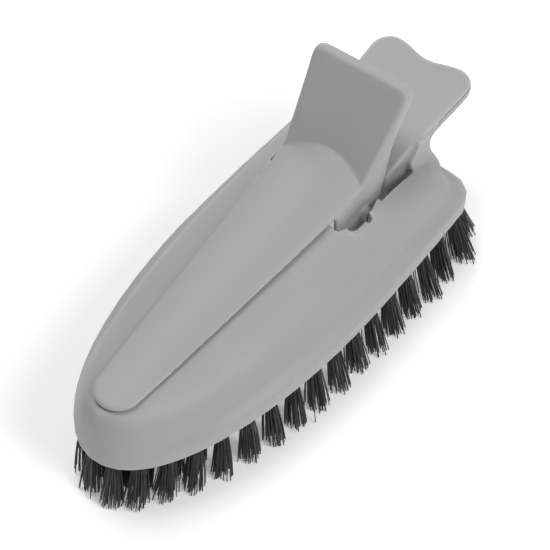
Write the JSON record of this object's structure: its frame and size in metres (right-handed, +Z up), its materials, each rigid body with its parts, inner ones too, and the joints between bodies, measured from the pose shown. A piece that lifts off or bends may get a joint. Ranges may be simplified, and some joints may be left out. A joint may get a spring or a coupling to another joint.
{
  "type": "cleaning brush",
  "caption": "Triangular hand scrubbing brush: iron-shaped moulded body with stiff dark bristle tufts round its rim, and a sprung clip lever with a long tongue and thumb tab on its deck.",
  "frame": {"origin": "centre of the bounding box's underside, on the floor that the bristle tips stand on", "axes": "+Z up from the floor, +Y from the nose to the tail, +X to the right for a viewer who looks from the nose to the tail"},
  "size_m": [0.1027, 0.2303, 0.1005],
  "materials": {
    "grey_plastic": "satin moulded plastic",
    "spring_steel": "drawn wire",
    "dark_bristle": "nylon filament"
  },
  "bodies": {
    "brush": {"body_shell": "grey_plastic", "hinge_pin": "spring_steel", "torsion_spring": "spring_steel", "tuft_01": "dark_bristle", "tuft_02": "dark_bristle", "tuft_03": "dark_bristle", "tuft_04": "dark_bristle", "tuft_05": "dark_bristle", "tuft_06": "dark_bristle", "tuft_07": "dark_bristle", "tuft_08": "dark_bristle", "tuft_09": "dark_bristle", "tuft_10": "dark_bristle", "tuft_11": "dark_bristle", "tuft_12": "dark_bristle", "tuft_13": "dark_bristle", "tuft_14": "dark_bristle", "tuft_15": "dark_bristle", "tuft_16": "dark_bristle", "tuft_17": "dark_bristle", "tuft_18": "dark_bristle", "tuft_19": "dark_bristle", "tuft_20": "dark_bristle", "tuft_21": "dark_bristle", "tuft_22": "dark_bristle", "tuft_23": "dark_bristle", "tuft_24": "dark_bristle", "tuft_25": "dark_bristle", "tuft_26": "dark_bristle", "tuft_27": "dark_bristle", "tuft_28": "dark_bristle", "tuft_29": "dark_bristle", "tuft_30": "dark_bristle", "tuft_31": "dark_bristle", "tuft_32": "dark_bristle", "tuft_33": "dark_bristle", "tuft_34": "dark_bristle", "tuft_35": "dark_bristle", "tuft_36": "dark_bristle", "tuft_37": "dark_bristle", "tuft_38": "dark_bristle", "tuft_39": "dark_bristle", "tuft_40": "dark_bristle", "tuft_41": "dark_bristle", "tuft_42": "dark_bristle", "tuft_43": "dark_bristle", "tuft_44": "dark_bristle", "tuft_45": "dark_bristle", "tuft_46": "dark_bristle", "tuft_47": "dark_bristle", "tuft_48": "dark_bristle", "tuft_49": "dark_bristle"},
    "lever": {"clip_lever": "grey_plastic"}
  },
  "joints": [
    {"name": "clip_hinge", "type": "hinge", "parent": "brush", "child": "lever", "pos_m": [0, 0.0378, 0.0485], "axis": [-1, 0, 0], "range_deg": [0, 18], "stiffness_Nm_per_rad": 1.2, "springref_deg": -20.05, "deforming": ["torsion_spring"]}
  ]
}
